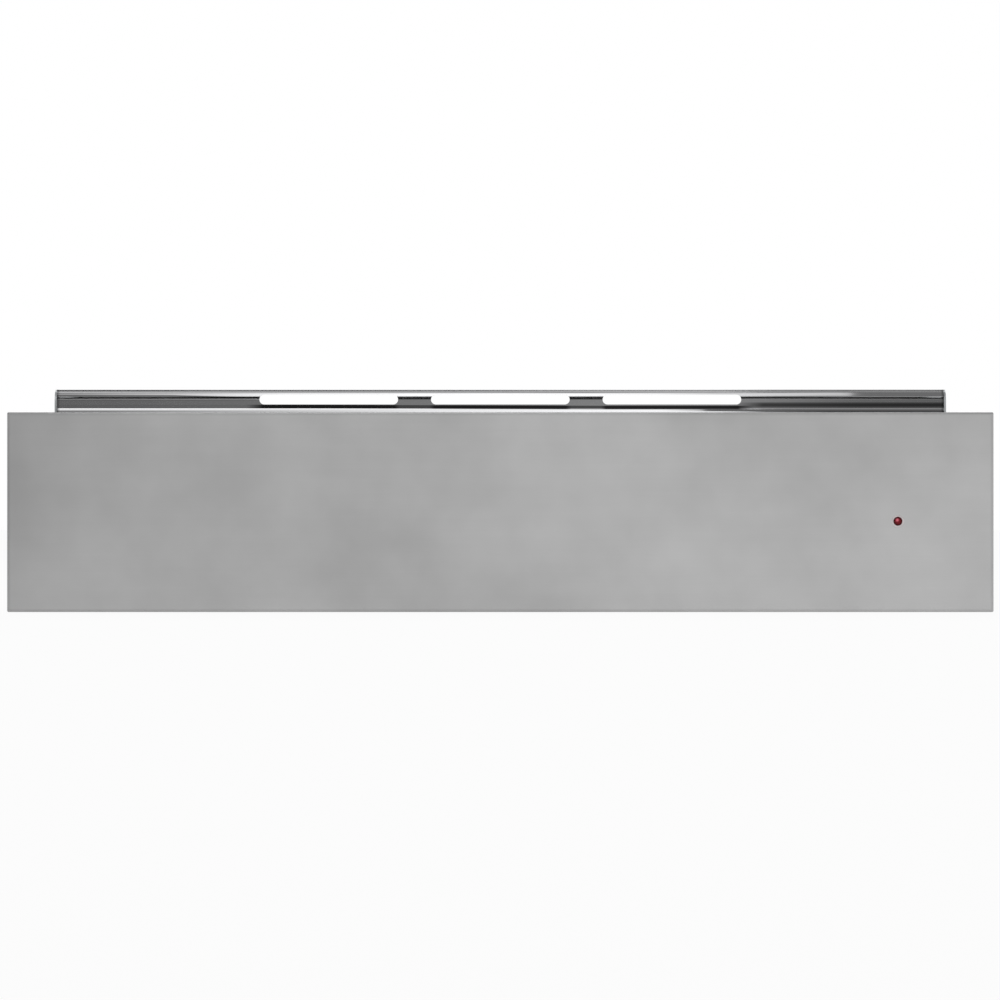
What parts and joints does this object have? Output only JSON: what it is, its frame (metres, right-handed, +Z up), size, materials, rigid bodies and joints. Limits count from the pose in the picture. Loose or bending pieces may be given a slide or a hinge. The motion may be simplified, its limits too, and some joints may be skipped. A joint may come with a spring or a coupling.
{
  "type": "built-in warming drawer",
  "caption": "Warming drawer built in below an oven: flat stainless push-to-open front with indicator lamp, slotted air rail above, fan-heated steel tray on ball runners.",
  "frame": {"origin": "middle of the footprint, on the shelf that carries the appliance", "axes": "X along the front, front towards -Y, +Z up"},
  "size_m": [0.595, 0.55, 0.137],
  "materials": {
    "stainless_front": "fine brushed stainless steel, satin",
    "stainless_rail": "bright rolled stainless steel",
    "stainless_tray": "stainless steel, satin",
    "galvanised_steel": "hot-dip galvanised sheet, spangled",
    "zinc_plated_steel": "zinc plated, clear passivated",
    "heater_steel": "oxidised heater sheath",
    "wheel_aluminium": "plain aluminium",
    "laminated_steel": "stacked electrical sheet",
    "copper_winding": "enamelled copper wire",
    "bronze": "sintered bronze",
    "black_plastic": "moulded, fine matt",
    "circuit_board": "solder mask",
    "bright_metal": "bright plated",
    "red_lens": "clear red lens, unlit",
    "tempered_glass": "dark toughened glass",
    "silicone": "matt silicone",
    "rubber_stop": "black rubber"
  },
  "bodies": {
    "housing": {"base_pan": "galvanised_steel", "left_side_panel": "galvanised_steel", "right_side_panel": "galvanised_steel", "rear_panel": "galvanised_steel", "top_cover": "galvanised_steel", "front_rail": "stainless_rail", "rear_partition": "galvanised_steel", "housing_screws": "zinc_plated_steel", "rear_buffers": "rubber_stop", "left_runner_outer": "zinc_plated_steel", "right_runner_outer": "zinc_plated_steel", "blower_scroll": "galvanised_steel", "blower_bush": "bronze", "heating_element": "heater_steel", "motor_stator": "laminated_steel", "motor_coil": "copper_winding", "motor_brackets": "zinc_plated_steel", "motor_bushes": "bronze", "safety_cutout": "black_plastic", "control_board": "circuit_board", "board_standoffs": "black_plastic", "terminal_block": "black_plastic", "cable_gland": "black_plastic", "gland_nut": "black_plastic", "temperature_sensor": "black_plastic", "push_latch_body": "black_plastic"},
    "latch_plunger": {"push_latch_plunger": "zinc_plated_steel"},
    "drawer": {"drawer_box": "stainless_tray", "base_plate": "tempered_glass", "non_slip_mat": "silicone", "front_panel": "stainless_front", "front_backing": "galvanised_steel", "control_bay": "stainless_tray", "control_fascia": "stainless_front", "front_screws": "zinc_plated_steel", "indicator_lens": "red_lens", "lamp_holder": "bright_metal", "lamp_clip": "black_plastic", "potentiometer": "black_plastic", "spindle_nut": "bright_metal", "switch_body": "black_plastic", "striker_plate": "galvanised_steel", "left_runner_inner": "zinc_plated_steel", "right_runner_inner": "zinc_plated_steel"},
    "runner_middles": {"left_runner_middle": "zinc_plated_steel", "right_runner_middle": "zinc_plated_steel"},
    "outer_ball_cages": {"left_outer_ball_cage": "zinc_plated_steel", "right_outer_ball_cage": "zinc_plated_steel"},
    "inner_ball_cages": {"left_inner_ball_cage": "zinc_plated_steel", "right_inner_ball_cage": "zinc_plated_steel"},
    "thermostat_knob": {"thermostat_knob": "black_plastic", "spindle": "bright_metal"},
    "power_rocker": {"power_rocker": "black_plastic"},
    "blower_fan": {"fan_wheel": "wheel_aluminium", "motor_rotor": "laminated_steel"}
  },
  "joints": [
    {"name": "push_latch_travel", "type": "slide", "parent": "housing", "child": "latch_plunger", "axis": [0, -1, 0], "range_m": [-0.003, 0.037]},
    {"name": "drawer_slide", "type": "slide", "parent": "latch_plunger", "child": "drawer", "axis": [0, -1, 0], "range_m": [0, 0.4]},
    {"name": "runner_middle_slide", "type": "slide", "parent": "housing", "child": "runner_middles", "axis": [0, -1, 0], "range_m": [0, 0.2]},
    {"name": "outer_cage_slide", "type": "slide", "parent": "housing", "child": "outer_ball_cages", "axis": [0, -1, 0], "range_m": [0, 0.1]},
    {"name": "inner_cage_slide", "type": "slide", "parent": "housing", "child": "inner_ball_cages", "axis": [0, -1, 0], "range_m": [0, 0.3]},
    {"name": "knob_turn", "type": "hinge", "parent": "drawer", "child": "thermostat_knob", "pos_m": [0.148, -0.2222, 0.1059], "axis": [0, 0, -1], "range_deg": [0, 270]},
    {"name": "rocker_tilt", "type": "hinge", "parent": "drawer", "child": "power_rocker", "pos_m": [0.2, -0.2222, 0.1045], "axis": [1, 0, 0], "range_deg": [0, 20]},
    {"name": "fan_spin", "type": "hinge", "parent": "housing", "child": "blower_fan", "pos_m": [0.015, 0.236, 0.056], "axis": [1, 0, 0], "continuous": true}
  ],
  "couplings": [
    {"joint": "runner_middle_slide", "follows": "drawer_slide", "ratio": 0.5},
    {"joint": "outer_cage_slide", "follows": "drawer_slide", "ratio": 0.25},
    {"joint": "inner_cage_slide", "follows": "drawer_slide", "ratio": 0.75}
  ]
}
